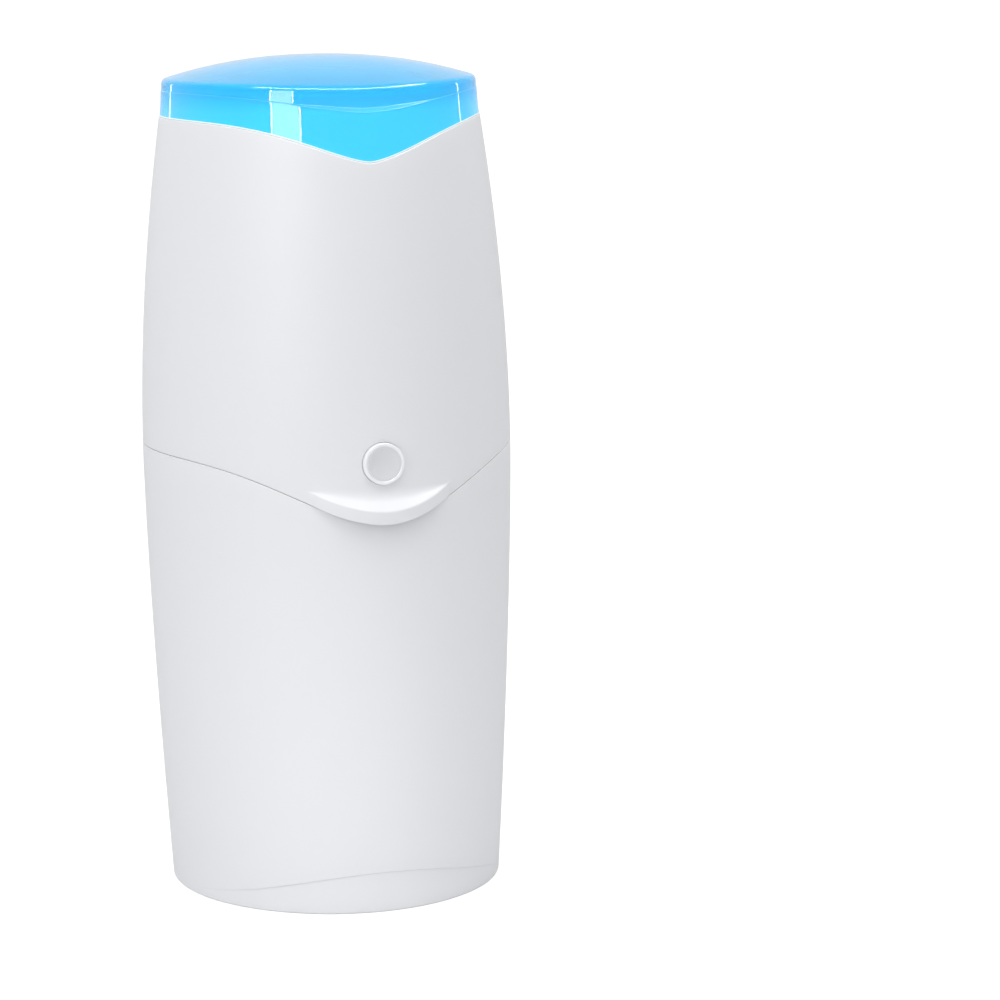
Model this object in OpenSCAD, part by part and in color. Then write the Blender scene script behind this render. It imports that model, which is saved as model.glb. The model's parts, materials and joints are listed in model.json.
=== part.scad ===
// Nappy bin: an oval tub, a head hinged on it at the rear and latched by a front button,
// a clear lid hinged on the head, and a film cassette over a sprung clamp inside the head.
// Millimetres. +Z is up, the front faces -Y, and the origin is the centre of the foot.

/* [Outer form] */
// Width at the widest height
body_w = 262.7; // [230:0.1:300]
// Depth at the widest height
body_d = 290.5; // [250:0.1:330]
// Width at the foot
foot_w = 236.9; // [210:0.1:262]
// Width where the head's rim meets the lid at the sides
rim_w = 225.8; // [212:0.1:250]
// Height of the widest point
waist_z = 315; // [285:1:345]
// How the sides curve in towards the foot
belly_curve = 1.5; // [1.2:0.05:2.2]
// How the sides curve in towards the lid
shoulder_curve = 1.886; // [1.5:0.01:2.4]

/* [Joints between the shells] */
// Height of the tub's rim at the sides and rear
seam_z = 320.2; // [305:0.1:340]
// How far that joint dips at the front
seam_dip = 47; // [30:0.5:60]
// Height of the lid's lower edge at the sides and rear
lid_z = 552; // [540:0.5:556]
// How far the lid's lower edge dips at the front
lid_dip = 27.7; // [15:0.1:34]
// Gap between tub and head
seam_gap = 0.8; // [0.5:0.1:1.5]
// Gap between head and lid
lid_gap = 0.6; // [0.4:0.1:1.2]

/* [Shells] */
// Wall of the tub
tub_wall = 2.6; // [2:0.1:3.5]
// Floor of the tub
tub_floor = 3; // [2:0.5:5]
// Height of the tongue that the tub's rim sends up inside the head
tongue_h = 5; // [3:0.5:8]
// Thickness of that tongue
tongue_t = 1.6; // [1.2:0.1:2.4]
// Play between the tongue and the head
tongue_play = 0.6; // [0.4:0.1:1.5]
// Wall of the head
head_wall = 2.6; // [2:0.1:3.5]
// Wall of the rim inside the lid
neck_wall = 2.2; // [1.6:0.1:3]
// Play between that rim and the lid
neck_play = 1.5; // [1:0.1:2.5]
// Height of the arch over the foot at the front
arch_z = 34.5; // [25:0.5:50]
// Depth of the recess below the arch
arch_step = 1; // [0.5:0.1:2]

/* [Finger lip] */
// How far the lip stands out
lip_out = 9; // [5:0.5:10]
// Half the angle that the lip spans
lip_angle = 20.6; // [15:0.1:26]
// Height of the lip's face at its tips
lip_tip_h = 9.8; // [7:0.1:14]
// Extra height of that face in the middle
lip_face_rise = 4.8; // [2:0.1:8]
// Rise of the ledge from the tips' face to the wall in the middle
lip_ledge_rise = 14.7; // [10:0.1:20]

/* [Lid] */
// Wall of the lid
lid_wall = 2.4; // [1.8:0.1:3.2]
// Height of the crease around the lid at the sides
crease_z = 570.2; // [566:0.1:571.5]
// How far the crease dips at the front
crease_dip = 11.9; // [8:0.1:13]
// Depth of the step at the crease at the sides
crease_step = 1; // [0.6:0.1:1.6]
// Extra depth of that step in the middle of the front
crease_ledge = 2; // [1:0.1:3]
// Height of the lid's upper edge at the sides
lid_edge_z = 576.5; // [575.5:0.1:580]
// How far the upper edge dips at the front
lid_edge_dip = 2.3; // [0:0.1:3]
// Rounding of the upper edge
lid_edge_r = 4; // [2:0.1:5]
// Height of the lid's crest
lid_top_z = 595; // [588:0.5:605]

/* [Hinges] */
// Radius of the rear knuckles of the head
knuckle_r = 5.5; // [5:0.1:6.5]
// Length of the three rear knuckles together
hinge_w = 56; // [48:1:60]
// Radius of the head's hinge pin
pin_r = 2.5; // [2:0.1:3]
// Radius of the lid's knuckles
lid_knuckle_r = 4.6; // [4.2:0.1:5.2]
// Length of the lid's three knuckles together
lid_hinge_w = 44; // [36:1:50]
// Radius of the lid's hinge pin
lid_pin_r = 1.8; // [1.5:0.1:2.2]
// Radial play of every pin
pin_play = 0.05; // [0.03:0.01:0.08]
// Gap between a knuckle and what turns past it
turn_gap = 0.6; // [0.4:0.1:1]

/* [Button and latch] */
// Radius of the button
button_r = 14.5; // [12:0.1:16]
// Height of the button's centre above the lowest point of the joint
button_rise = 47.3; // [43:0.1:53]
// How far the button stands out of the head
button_out = 3; // [2:0.1:4]
// Travel of the button
button_travel = 3.5; // [2.5:0.1:4.5]
// Play around the button in its housing
button_play = 0.3; // [0.2:0.05:0.6]
// Radius of the dish in the button
dish_r = 11.5; // [9:0.1:12]
// Depth of the dish
dish_depth = 1.8; // [1:0.1:2.5]
// Radius of the button's stem
stem_r = 3.5; // [3:0.1:4.5]
// Height of the latch pivot above the button's centre
pivot_rise = 25; // [23:0.5:30]
// Radius of the latch pin
latch_pin_r = 2; // [1.6:0.1:2.4]
// Width of the latch lever
latch_w = 18; // [14:1:24]
// How far the hook hangs below the button's centre
hook_drop = 58; // [56:0.5:62]
// Clearance between the hook and the keeper as the head turns
hook_clear = 0.5; // [0.4:0.1:1]

/* [Cassette and tray] */
// Height of the ledge that the tray stands on
ledge_z = 541; // [536:0.5:544]
// Radius of the cassette
cassette_r = 90; // [84:0.5:92]
// Height of the cassette's tub
cassette_h = 46; // [40:1:50]
// Radius of the cassette's opening
bore_r = 57; // [50:0.5:60]
// Wall of the cassette
cassette_wall = 1.8; // [1.4:0.1:2.4]
// Play between the cassette and the tray
cassette_play = 0.6; // [0.4:0.1:1]
// Wall of the tray
tray_wall = 2.4; // [2:0.1:3]
// Number of slots in the cassette's cap ring
slot_count = 8; // [6:1:12]

/* [Clamp] */
// Radius of the clamp housing
clamp_r = 84; // [80:0.5:88]
// Height of the clamp housing
clamp_h = 26; // [24:1:30]
// Distance of each flap's pivot from the middle
flap_pivot_x = 51; // [47:0.5:52]
// Length of the flaps along their pivots
flap_w = 90; // [80:1:92]
// Thickness of the flaps
flap_t = 2.6; // [2:0.1:3.5]
// Radius of the flaps' knuckles
flap_knuckle_r = 4.2; // [4:0.1:5]
// Radius of the flap pins
flap_pin_r = 2; // [1.6:0.1:2.2]
// Gap between the two flaps' lips
flap_gap = 0.6; // [0.4:0.1:1]
// Width of the soft lip on each flap
lip_w = 6; // [4:0.5:8]
// Wire of the flap springs
wire_r = 0.55; // [0.45:0.05:0.6]

/* [Hidden] */
$fn = 64;

// Ratio of depth to width, kept at every height
plan_ratio = body_d / body_w;
// How far the form draws in at the foot and at the rim
foot_in = (body_w - foot_w) / 2;
rim_in = (body_w - rim_w) / 2;
// Spread in degrees and sharpness of each dip across the front
seam_bend = [28.5, 1.73];
lid_bend = [27.1, 1.5];
crease_bend = [29.9, 1.7];
ledge_bend = [25, 2];
edge_bend = [40, 2];
arch_bend = [53.5, 2];
toe_bend = [62, 4];
// Roundness of the lip's outline at its middle, as a share of its half angle
lip_blend = 0.25;
// Height of the arch where it has faded out, and the chamfer round the foot
arch_low = 3;
foot_chamfer = 1.2;
// Directions around the form, in degrees from the front, closer together across the lip
steps = [for (a = [-180 : 6 : -36]) a, for (a = [-30 : 2.5 : 30]) a, for (a = [36 : 6 : 174]) a];
// Inset of the rim from the form, and of the ledge that the tray stands on
neck_in = lid_wall + neck_play;
ledge_step = 2.6;
ledge_in = neck_in + neck_wall + ledge_step;
neck_drop = 3.2;
tongue_in = head_wall + tongue_play;
// Gap left where two pieces seat on each other
seat_gap = 0.2;
slip = 0.02;

// Screws
screw_r = 1.5;
screw_head_r = 3;
screw_head_h = 1.8;
boss_r = 4.6;

// Rear hinges
head_axis_y = form_y(0, seam_z, 0) + knuckle_r + 1;
lid_axis_y = form_y(0, lid_z, 0) + lid_knuckle_r + 1;
leaf_h = 22;
lid_leaf_h = 15;

// Button, its housing and the latch
button_z = seam_z - seam_dip + button_rise;
button_front = -form_y(0, button_z, 0) - button_out;
button_len = 14;
button_wall = 2;
sleeve_wall = 2;
sleeve_r = button_r + button_play;
sleeve_front = -form_y(sleeve_r + sleeve_wall, button_z, -head_wall) + seat_gap;
plate_y = button_front + button_len + button_travel + 1;
plate_t = 2.5;
ear_t = 3;
ear_x = latch_w / 2 + 0.4;
lever_t = 4;
lever_front = plate_y + plate_t + 4;
stem_gap = 0.6;
pivot_y = lever_front + lever_t / 2;
pivot_z = button_z + pivot_rise;
hub_r = 4.8;
housing_screw_x = sleeve_r + sleeve_wall + boss_r + 0.6;
housing_tab_y = -form_y(housing_screw_x + boss_r, button_z, -head_wall) + 3;
housing_tab_t = 2.5;

// Hook and keeper
hook_z = button_z - hook_drop;
hook_t = 4;
hook_len = 6;
hook_nose = 1.8;
hook_tip_y = lever_front - hook_len;
keeper_w = 24;
keeper_h = 30;
keeper_t = 2.5;
keeper_top = hook_z + hook_t + 7.5;
keeper_y = -form_y(keeper_w / 2 + 9, keeper_top, -tub_wall) + 3;
keeper_screw_x = keeper_w / 2 + 4;
keeper_screw_z = keeper_top - keeper_h + 6;
hook_path_r = norm([head_axis_y - hook_tip_y, seam_z - hook_z - hook_nose]);

// Tray and cassette
deck_t = 3;
deck_top = ledge_z + deck_t;
deck_play = 0.8;
cap_h = 4;
cap_rise = 4;
well_r = cassette_r + cassette_play;
floor_top = deck_top + cap_rise - cap_h - cassette_h;
tray_bottom = floor_top - tray_wall;
tray_screw_angles = [28, 152, -152, -28];
tray_boss_h = 16;
tray_screw_l = 10;
clamp_screw_l = 12;
sleeve_inset = 6;
pleat = 2;
pleat_count = 16;

// Clamp
frame_wall = 2.4;
frame_x = flap_pivot_x + 5;
frame_y = flap_w / 2 + 0.6;
clamp_top = tray_bottom;
clamp_low = clamp_top - clamp_h;
flap_z = clamp_top - 13.5;
knuckle_gap_y = 13;
post_xy = [38, 63];
coil_r = flap_pin_r + 0.35 + wire_r;
coil_turns = 9;
coil_pitch = 2.3;
spring_leg = 9;

// Film cutter
cutter_top = clamp_low + 4;
cutter_base_t = 3;
cutter_h = 26;
fork_w = 28;
fork_t = 8;
fork_slot = 2;
blade_l = 20;
blade_h = 7;
blade_t = 0.6;

// Shape of a dip: 1 at the front, fading to 0 towards the sides
function dip(a, bend) = exp(-pow(abs(a) / bend[0], bend[1]));

function mix(a, b, f) = a + (b - a) * f;

// Half the width of the form at a height
function half_w(z) = z < waist_z
    ? body_w / 2 - foot_in * pow((waist_z - z) / waist_z, belly_curve)
    : body_w / 2 - rim_in * pow((z - waist_z) / (lid_z - waist_z), shoulder_curve);

// Distance of the form from the middle plane along Y, at a distance x from the other one
function form_y(x, z, out) =
    (half_w(z) * plan_ratio + out) * sqrt(1 - pow(x / (half_w(z) + out), 2));

// A point of the form, a degrees from the front towards +X, moved outwards by out
function form_point(a, z, out) =
    let (hw = half_w(z) + out,
         hd = half_w(z) * plan_ratio + out,
         r = hw * hd / norm([hd * sin(a), hw * cos(a)]))
    [r * sin(a), -r * cos(a), z];

function ring(z, out) = [for (a = steps)
    form_point(a, is_function(z) ? z(a) : z, is_function(out) ? out(a) : out)];

// Heights and depths that vary around the form
function seam(a) = seam_z - seam_dip * dip(a, seam_bend);
function tub_rim(a) = seam(a) - seam_gap;
function lid_low(a) = lid_z - lid_dip * dip(a, lid_bend);
function crease(a) = crease_z - crease_dip * dip(a, crease_bend);
function step_in(a) = crease_step + crease_ledge * dip(a, ledge_bend);
function lid_edge(a) = lid_edge_z - lid_edge_dip * dip(a, edge_bend);
function arch(a) = arch_low + (arch_z - arch_low) * dip(a, arch_bend);
function toe(a) = arch_step * dip(a, toe_bend);
function lip(a) = lip_out * max(0, 1 - pow(a / lip_angle, 2));
function lip_span(a) =
    let (t = min(1, abs(a) / lip_angle))
    1 - (norm([t, lip_blend]) - lip_blend) / (norm([1, lip_blend]) - lip_blend);
function lip_face(a) = seam(a) + lip_tip_h + lip_face_rise * pow(lip_span(a), 2);
function lip_root(a) = seam(a) + lip_tip_h + 0.6 + lip_ledge_rise * lip_span(a);
function shelf_low(a) = min(lid_low(a), ledge_z) - 4;

// A ring of the lid's dome, at a share f of the way from its crest to its edge
function dome_ring(f, down) = [for (a = steps)
    let (edge = form_point(a, lid_edge(a), -step_in(a) - lid_edge_r))
    [edge.x * f, edge.y * f, lid_top_z - (lid_top_z - edge.z) * f * f - down]];

// A surface through rings of points, closed on itself or capped at both ends
module loft(rings, closed) {
    n = len(steps);
    m = len(rings);
    sides = [for (i = [0 : closed ? m - 1 : m - 2], j = [0 : n - 1])
        let (k = (j + 1) % n,
             up = (i + 1) % m)
        each [[i * n + j, up * n + k, i * n + k], [i * n + j, up * n + j, up * n + k]]];
    caps = closed ? [] : [[for (j = [0 : n - 1]) j], [for (j = [1 : n]) m * n - j]];
    polyhedron([for (r = rings) each r], concat(sides, caps));
}

// A cylinder along X through a point given as [y, z], between two distances
module bar_x(yz, r, x0, x1) {
    translate([x0, yz[0], yz[1]]) rotate([0, 90, 0]) cylinder(r = r, h = x1 - x0);
}

// A cylinder along Y through a point given as [x, z]
module bar_y(xz, r, y0, y1) {
    translate([xz[0], y1, xz[1]]) rotate([90, 0, 0]) cylinder(r = r, h = y1 - y0);
}

// A profile in the YZ plane, extruded along X from x0 to x1
module slab_x(points, x0, x1) {
    translate([x0, 0, 0]) rotate([90, 0, 90]) linear_extrude(x1 - x0) polygon(points);
}

// A screw whose head's underside is at the origin, pointing down, with a cross recess
module screw(length) {
    difference() {
        union() {
            cylinder(r = screw_head_r, h = screw_head_h);
            translate([0, 0, -length]) cylinder(r = screw_r, h = length + 0.1);
        }
        for (turn = [0, 90])
            rotate(turn) translate([-1.8, -0.4, screw_head_h - 0.9]) cube([3.6, 0.8, 1]);
    }
}

// A hinge knuckle with the leaf that roots it in the wall, above (1) or below (-1) its axis
module knuckle(axis_y, axis_z, r, x0, x1, side, leaf) {
    root_z = axis_z + side * 3;
    end_z = axis_z + side * leaf;
    bar_x([axis_y, axis_z], r, x0, x1);
    slab_x([[axis_y + r - 0.01, axis_z],
            [form_y(0, end_z, 0) + 0.8, end_z],
            [form_y(max(abs(x0), abs(x1)), end_z, 0) - 0.3, end_z],
            [form_y(max(abs(x0), abs(x1)), root_z, 0) - 0.3, root_z],
            [axis_y - r * 0.7, axis_z]], x0, x1);
}

// ---- Tub ----

module base_shell() color([0.9, 0.91, 0.93]) {
    inner_step = tongue_in + tongue_t;
    difference() {
        union() {
            loft(concat(
                [ring(0, function (a) -toe(a) - foot_chamfer),
                 ring(foot_chamfer, function (a) -toe(a)),
                 ring(function (a) arch(a), function (a) -toe(a)),
                 ring(function (a) arch(a) + arch_step, 0)],
                [for (f = [0.2 : 0.2 : 0.8])
                    ring(function (a) mix(arch(a) + arch_step, tub_rim(a), f), 0)],
                [ring(function (a) tub_rim(a), 0),
                 ring(function (a) tub_rim(a), -tongue_in),
                 ring(function (a) tub_rim(a) + tongue_h, -tongue_in),
                 ring(function (a) tub_rim(a) + tongue_h, -inner_step),
                 ring(function (a) tub_rim(a) - 6, -inner_step),
                 ring(function (a) tub_rim(a) - 10, -tub_wall)],
                [for (f = [0.8 : -0.2 : 0.2])
                    ring(function (a) mix(arch(a) + arch_step, tub_rim(a), f), -tub_wall)],
                [ring(function (a) max(arch(a), tub_floor + 5), function (a) -tub_wall - toe(a)),
                 ring(tub_floor, function (a) -tub_wall - toe(a) - 2)]), false);
            for (side = [-1, 1])
                knuckle(head_axis_y, seam_z, knuckle_r, side > 0 ? hinge_w / 4 + turn_gap : -hinge_w / 2,
                    side > 0 ? hinge_w / 2 : -hinge_w / 4 - turn_gap, -1, leaf_h);
            for (x = [-1, 1])
                bar_y([x * keeper_screw_x, keeper_screw_z], boss_r,
                    -form_y(keeper_screw_x, keeper_screw_z, -1), keeper_y);
        }
        bar_x([head_axis_y, seam_z], pin_r + pin_play, -hinge_w, hinge_w);
        for (x = [-1, 1])
            bar_y([x * keeper_screw_x, keeper_screw_z], screw_r + slip, keeper_y - 5, keeper_y + 1);
    }
}

// ---- Head ----

module head_shell() color([0.9, 0.91, 0.93]) {
    difference() {
        union() {
            loft(concat(
                [ring(function (a) seam(a), function (a) lip(a)),
                 ring(function (a) lip_face(a), function (a) lip(a)),
                 ring(function (a) lip_root(a), 0)],
                [for (f = [0.1, 0.3, 0.5, 0.7, 0.88])
                    ring(function (a) mix(lip_root(a), lid_low(a), f), 0)],
                [ring(function (a) lid_low(a), 0),
                 ring(function (a) lid_low(a), -neck_in),
                 ring(function (a) crease(a) - neck_drop, -neck_in),
                 ring(function (a) crease(a) - neck_drop, -neck_in - neck_wall),
                 ring(ledge_z, -neck_in - neck_wall),
                 ring(ledge_z, -ledge_in),
                 ring(function (a) shelf_low(a), -ledge_in),
                 ring(function (a) shelf_low(a) - 6, -head_wall)],
                [for (f = [0.88, 0.7, 0.5, 0.3, 0.1])
                    ring(function (a) mix(lip_root(a), lid_low(a), f), -head_wall)],
                [ring(function (a) lip_root(a) - 2, -head_wall),
                 ring(function (a) lip_face(a) - head_wall, function (a) lip(a) - head_wall),
                 ring(function (a) seam(a), function (a) lip(a) - head_wall)]), true);
            knuckle(head_axis_y, seam_z, knuckle_r, -hinge_w / 4, hinge_w / 4, 1, leaf_h);
            for (side = [-1, 1])
                knuckle(lid_axis_y, lid_z, lid_knuckle_r,
                    side > 0 ? lid_hinge_w / 4 + turn_gap : -lid_hinge_w / 2,
                    side > 0 ? lid_hinge_w / 2 : -lid_hinge_w / 4 - turn_gap, -1, lid_leaf_h);
            for (a = tray_screw_angles)
                translate(tray_boss_at(a)) translate([0, 0, -tray_boss_h])
                    cylinder(r = boss_r, h = tray_boss_h);
            for (x = [-1, 1])
                bar_y([x * housing_screw_x, button_z], boss_r,
                    -form_y(housing_screw_x, button_z, -1), housing_tab_y);
        }
        bar_x([head_axis_y, seam_z], pin_r + pin_play, -hinge_w, hinge_w);
        bar_x([lid_axis_y, lid_z], lid_pin_r + pin_play, -lid_hinge_w, lid_hinge_w);
        bar_y([0, button_z], button_r + 0.6, button_front, sleeve_front + 4);
        for (a = tray_screw_angles)
            translate(tray_boss_at(a)) translate([0, 0, -12]) cylinder(r = screw_r + slip, h = 13);
        for (x = [-1, 1])
            bar_y([x * housing_screw_x, button_z], screw_r + slip, housing_tab_y - 4.6,
                housing_tab_y + 1);
    }
}

function tray_boss_at(a) = form_point(a, ledge_z, -ledge_in - boss_r + 0.8);

module head_hinge_pin() color([0.7, 0.71, 0.73])
    bar_x([head_axis_y, seam_z], pin_r, -hinge_w / 2, hinge_w / 2);

module lid_hinge_pin() color([0.7, 0.71, 0.73])
    bar_x([lid_axis_y, lid_z], lid_pin_r, -lid_hinge_w / 2, lid_hinge_w / 2);

// ---- Latch keeper, screwed inside the tub's rim ----

module latch_keeper() color([0.75, 0.76, 0.78]) {
    low = keeper_top - keeper_h;
    difference() {
        union() {
            translate([-keeper_w / 2, keeper_y, low]) cube([keeper_w, keeper_t, keeper_h]);
            for (x = [-1, 1])
                bar_y([x * keeper_screw_x, keeper_screw_z], boss_r, keeper_y, keeper_y + keeper_t);
            translate([-keeper_screw_x, keeper_y, keeper_screw_z - boss_r])
                cube([2 * keeper_screw_x, keeper_t, 2 * boss_r]);
            // The catch, a wedge under which the hook swings, and the ribs that back it
            slab_x([[keeper_y + 1, keeper_top - 7], [keeper_y + keeper_t + 9, keeper_top - 3.5],
                    [keeper_y + keeper_t + 9, keeper_top - 2], [keeper_y + keeper_t, keeper_top],
                    [keeper_y + 1, keeper_top]], -keeper_w / 2, keeper_w / 2);
            for (x = [-keeper_w / 2, keeper_w / 2 - 2])
                slab_x([[keeper_y + 1, low + 4], [keeper_y + keeper_t + 7.5, keeper_top - 4],
                        [keeper_y + keeper_t, keeper_top - 1], [keeper_y + 1, keeper_top - 1]],
                    x, x + 2);
        }
        // The way of the hook as the head turns about its hinge
        difference() {
            bar_x([head_axis_y, seam_z], hook_path_r + hook_clear, -keeper_w, keeper_w);
            bar_x([head_axis_y, seam_z], hook_path_r - 20, -keeper_w, keeper_w);
        }
        for (x = [-1, 1])
            bar_y([x * keeper_screw_x, keeper_screw_z], screw_r + slip, keeper_y - 1,
                keeper_y + keeper_t + 1);
    }
}

module keeper_screws() color([0.6, 0.61, 0.63])
    for (x = [-1, 1])
        translate([x * keeper_screw_x, keeper_y + keeper_t, keeper_screw_z]) rotate([-90, 0, 0])
            screw(keeper_t + 4.5);

// ---- Button and latch ----

module button_housing() color([0.83, 0.84, 0.86]) {
    tab = [housing_screw_x + boss_r, housing_tab_t];
    difference() {
        union() {
            bar_y([0, button_z], sleeve_r + sleeve_wall, sleeve_front, plate_y + plate_t);
            // Tabs that seat on the bosses of the head
            translate([-tab[0] + boss_r, housing_tab_y, button_z - boss_r])
                cube([2 * (tab[0] - boss_r), housing_tab_t, 2 * boss_r]);
            for (x = [-1, 1])
                bar_y([x * housing_screw_x, button_z], boss_r, housing_tab_y,
                    housing_tab_y + housing_tab_t);
            // Ears for the latch pin
            for (x = [-ear_x - ear_t, ear_x]) {
                bar_x([pivot_y, pivot_z], hub_r, x, x + ear_t);
                slab_x([[plate_y, button_z - 8], [plate_y + plate_t + 2, button_z - 8],
                        [pivot_y + hub_r * 0.97, pivot_z - hub_r * 0.2],
                        [pivot_y - hub_r * 0.9, pivot_z + hub_r * 0.4], [plate_y, button_z + 12]],
                    x, x + ear_t);
            }
        }
        bar_y([0, button_z], sleeve_r, sleeve_front - 1, plate_y);
        bar_y([0, button_z], stem_r + button_play, plate_y - 1, plate_y + plate_t + 1);
        bar_x([pivot_y, pivot_z], latch_pin_r + pin_play, -30, 30);
        for (x = [-1, 1])
            bar_y([x * housing_screw_x, button_z], screw_r + slip, housing_tab_y - 1,
                housing_tab_y + housing_tab_t + 1);
    }
}

module housing_screws() color([0.6, 0.61, 0.63])
    for (x = [-1, 1])
        translate([x * housing_screw_x, housing_tab_y + housing_tab_t, button_z])
            rotate([-90, 0, 0]) screw(housing_tab_t + 4);

module latch_pin() color([0.7, 0.71, 0.73])
    bar_x([pivot_y, pivot_z], latch_pin_r, -ear_x - ear_t, ear_x + ear_t);

module release_button() color([0.92, 0.93, 0.95]) {
    edge = 1.4;
    dish = (dish_r * dish_r + dish_depth * dish_depth) / (2 * dish_depth);
    translate([0, button_front, button_z]) rotate([-90, 0, 0]) {
        difference() {
            rotate_extrude($fn = 96)
                polygon(concat(
                    [[0, button_len], [0, 0]],
                    [for (t = [-90 : 15 : 0])
                        [button_r - edge + edge * cos(t), edge + edge * sin(t)]],
                    [[button_r, button_len]]));
            translate([0, 0, dish_depth - dish]) sphere(r = dish, $fn = 128);
            translate([0, 0, dish_depth + 2.4]) cylinder(r = button_r - button_wall, h = button_len);
        }
        translate([0, 0, dish_depth + 2]) cylinder(r = stem_r,
            h = lever_front - stem_gap - button_front - dish_depth - 2);
    }
}

// A round wire wound as a helix about +Z, from the origin's plane upwards
module coil(r, wire, turns, pitch) {
    per_turn = 12;
    sides = 6;
    rings = turns * per_turn;
    points = [for (i = [0 : rings], k = [0 : sides - 1])
        let (a = i * 360 / per_turn,
             out = r + wire * cos(k * 360 / sides))
        [out * cos(a), out * sin(a), i * pitch / per_turn + wire * (1 + sin(k * 360 / sides))]];
    walls = [for (i = [0 : rings - 1], k = [0 : sides - 1])
        let (n = (k + 1) % sides,
             a = i * sides,
             b = a + sides)
        each [[a + k, b + n, b + k], [a + k, a + n, b + n]]];
    ends = [[for (k = [sides - 1 : -1 : 0]) k], [for (k = [0 : sides - 1]) rings * sides + k]];
    polyhedron(points, concat(walls, ends));
}

// The return spring, drawn as long as it is with the button pressed
module button_spring() color([0.62, 0.63, 0.65]) {
    wire = 0.5;
    turns = 5;
    room = plate_y - button_front - dish_depth - 2.4 - button_travel;
    translate([0, plate_y, button_z]) rotate([90, 0, 0])
        coil(stem_r + 2.5, wire, turns, (room - 0.4 - 2 * wire) / turns);
}

module latch_lever() color([0.2, 0.45, 0.72]) {
    difference() {
        union() {
            bar_x([pivot_y, pivot_z], hub_r, -latch_w / 2, latch_w / 2);
            slab_x([[lever_front, pivot_z - 1], [lever_front, hook_z + hook_t],
                    [hook_tip_y, hook_z + hook_t], [hook_tip_y, hook_z + hook_nose],
                    [hook_tip_y + 3, hook_z], [lever_front + lever_t, hook_z],
                    [lever_front + lever_t, pivot_z]], -latch_w / 2, latch_w / 2);
            // Stiffening rib down the back of the arm
            slab_x([[lever_front + lever_t - 0.1, pivot_z - hub_r], [lever_front + lever_t + 3, pivot_z - 12],
                    [lever_front + lever_t + 3, hook_z + 12], [lever_front + lever_t - 0.1, hook_z + 3]],
                -1.2, 1.2);
        }
        bar_x([pivot_y, pivot_z], latch_pin_r + pin_play, -latch_w, latch_w);
    }
}

// ---- Tray that carries the cassette ----

module cassette_tray() color([0.88, 0.89, 0.91]) {
    difference() {
        union() {
            translate([0, 0, ledge_z]) linear_extrude(deck_t) polygon([for (a = steps)
                let (p = form_point(a, ledge_z, -neck_in - neck_wall - deck_play)) [p.x, p.y]]);
            translate([0, 0, tray_bottom]) cylinder(r = well_r + tray_wall, h = deck_top - tray_bottom);
            for (a = [0 : 45 : 315])
                rotate([90, 0, a]) translate([0, 0, -0.8]) linear_extrude(1.6)
                    polygon([[well_r + 1, ledge_z + 0.1], [well_r + 1, ledge_z - 26],
                             [well_r + tray_wall, ledge_z - 26], [well_r + tray_wall + 9, ledge_z - 6],
                             [well_r + tray_wall + 9, ledge_z + 0.1]]);
        }
        translate([0, 0, floor_top]) cylinder(r = well_r, h = deck_top);
        translate([0, 0, tray_bottom - 1]) cylinder(r = bore_r + 1, h = 10);
        for (a = tray_screw_angles)
            translate(tray_boss_at(a)) cylinder(r = screw_r + slip, h = 3 * deck_t, center = true);
        for (x = [-1, 1], y = [-1, 1])
            translate([x * post_xy[0], y * post_xy[1], floor_top]) {
                cylinder(r = screw_r + slip, h = 10, center = true);
                translate([0, 0, -screw_head_h]) cylinder(r1 = screw_r, r2 = screw_head_r + 0.4,
                    h = screw_head_h + 0.01);
            }
    }
}

module tray_screws() color([0.6, 0.61, 0.63])
    for (a = tray_screw_angles)
        translate(tray_boss_at(a)) translate([0, 0, deck_t]) screw(deck_t + tray_screw_l);

// ---- Film cassette ----

module cassette_tub() color([0.16, 0.4, 0.72]) {
    hub = bore_r + cassette_wall + 2;
    translate([0, 0, floor_top]) rotate_extrude($fn = 128) polygon([
        [hub, 0], [cassette_r, 0], [cassette_r, cassette_h],
        [cassette_r - cassette_wall, cassette_h], [cassette_r - cassette_wall, cassette_wall],
        [hub + cassette_wall, cassette_wall], [hub + cassette_wall, cassette_h - 8],
        [hub, cassette_h - 8]]);
}

// The ring that closes the cassette and leaves the film's slot around the collar
module cassette_cap() color([0.18, 0.43, 0.75]) {
    slot_r = bore_r + 13;
    translate([0, 0, floor_top + cassette_h]) difference() {
        rotate_extrude($fn = 128) polygon([
            [slot_r, -4], [slot_r + 1.6, -4], [slot_r + 1.6, 0], [cassette_r - cassette_wall - 2, 0],
            [cassette_r - cassette_wall - 2, -3], [cassette_r - cassette_wall - slip * 5, -3],
            [cassette_r - cassette_wall - slip * 5, 0], [cassette_r + 0.3, 0],
            [cassette_r + 0.3, cap_h - 0.6], [cassette_r - 0.4, cap_h], [cassette_r - 2, cap_h],
            [cassette_r - 3, cap_h - 1.8], [slot_r + 2, cap_h - 1.8], [slot_r, cap_h - 2.4]]);
        for (i = [1 : slot_count])
            rotate((i + 0.5) * 360 / slot_count) translate([cassette_r - 8.5, -4, -0.5])
                cube([3, 8, cap_h]);
    }
}

// The collar that the film is drawn over and down through
module cassette_collar() color([0.14, 0.36, 0.68]) {
    top = cassette_h + 1;
    flare = 7;
    inner = flare - cassette_wall;
    translate([0, 0, floor_top]) rotate_extrude($fn = 128) polygon(concat(
        [[bore_r, 0], [bore_r + cassette_wall, 0], [bore_r + cassette_wall, top - flare]],
        [for (t = [180 : -15 : 90])
            [bore_r + flare + inner * cos(t), top - flare + inner * sin(t)]],
        [for (t = [90 : 15 : 180])
            [bore_r + flare + flare * cos(t), top - flare + flare * sin(t)]]));
}

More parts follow.
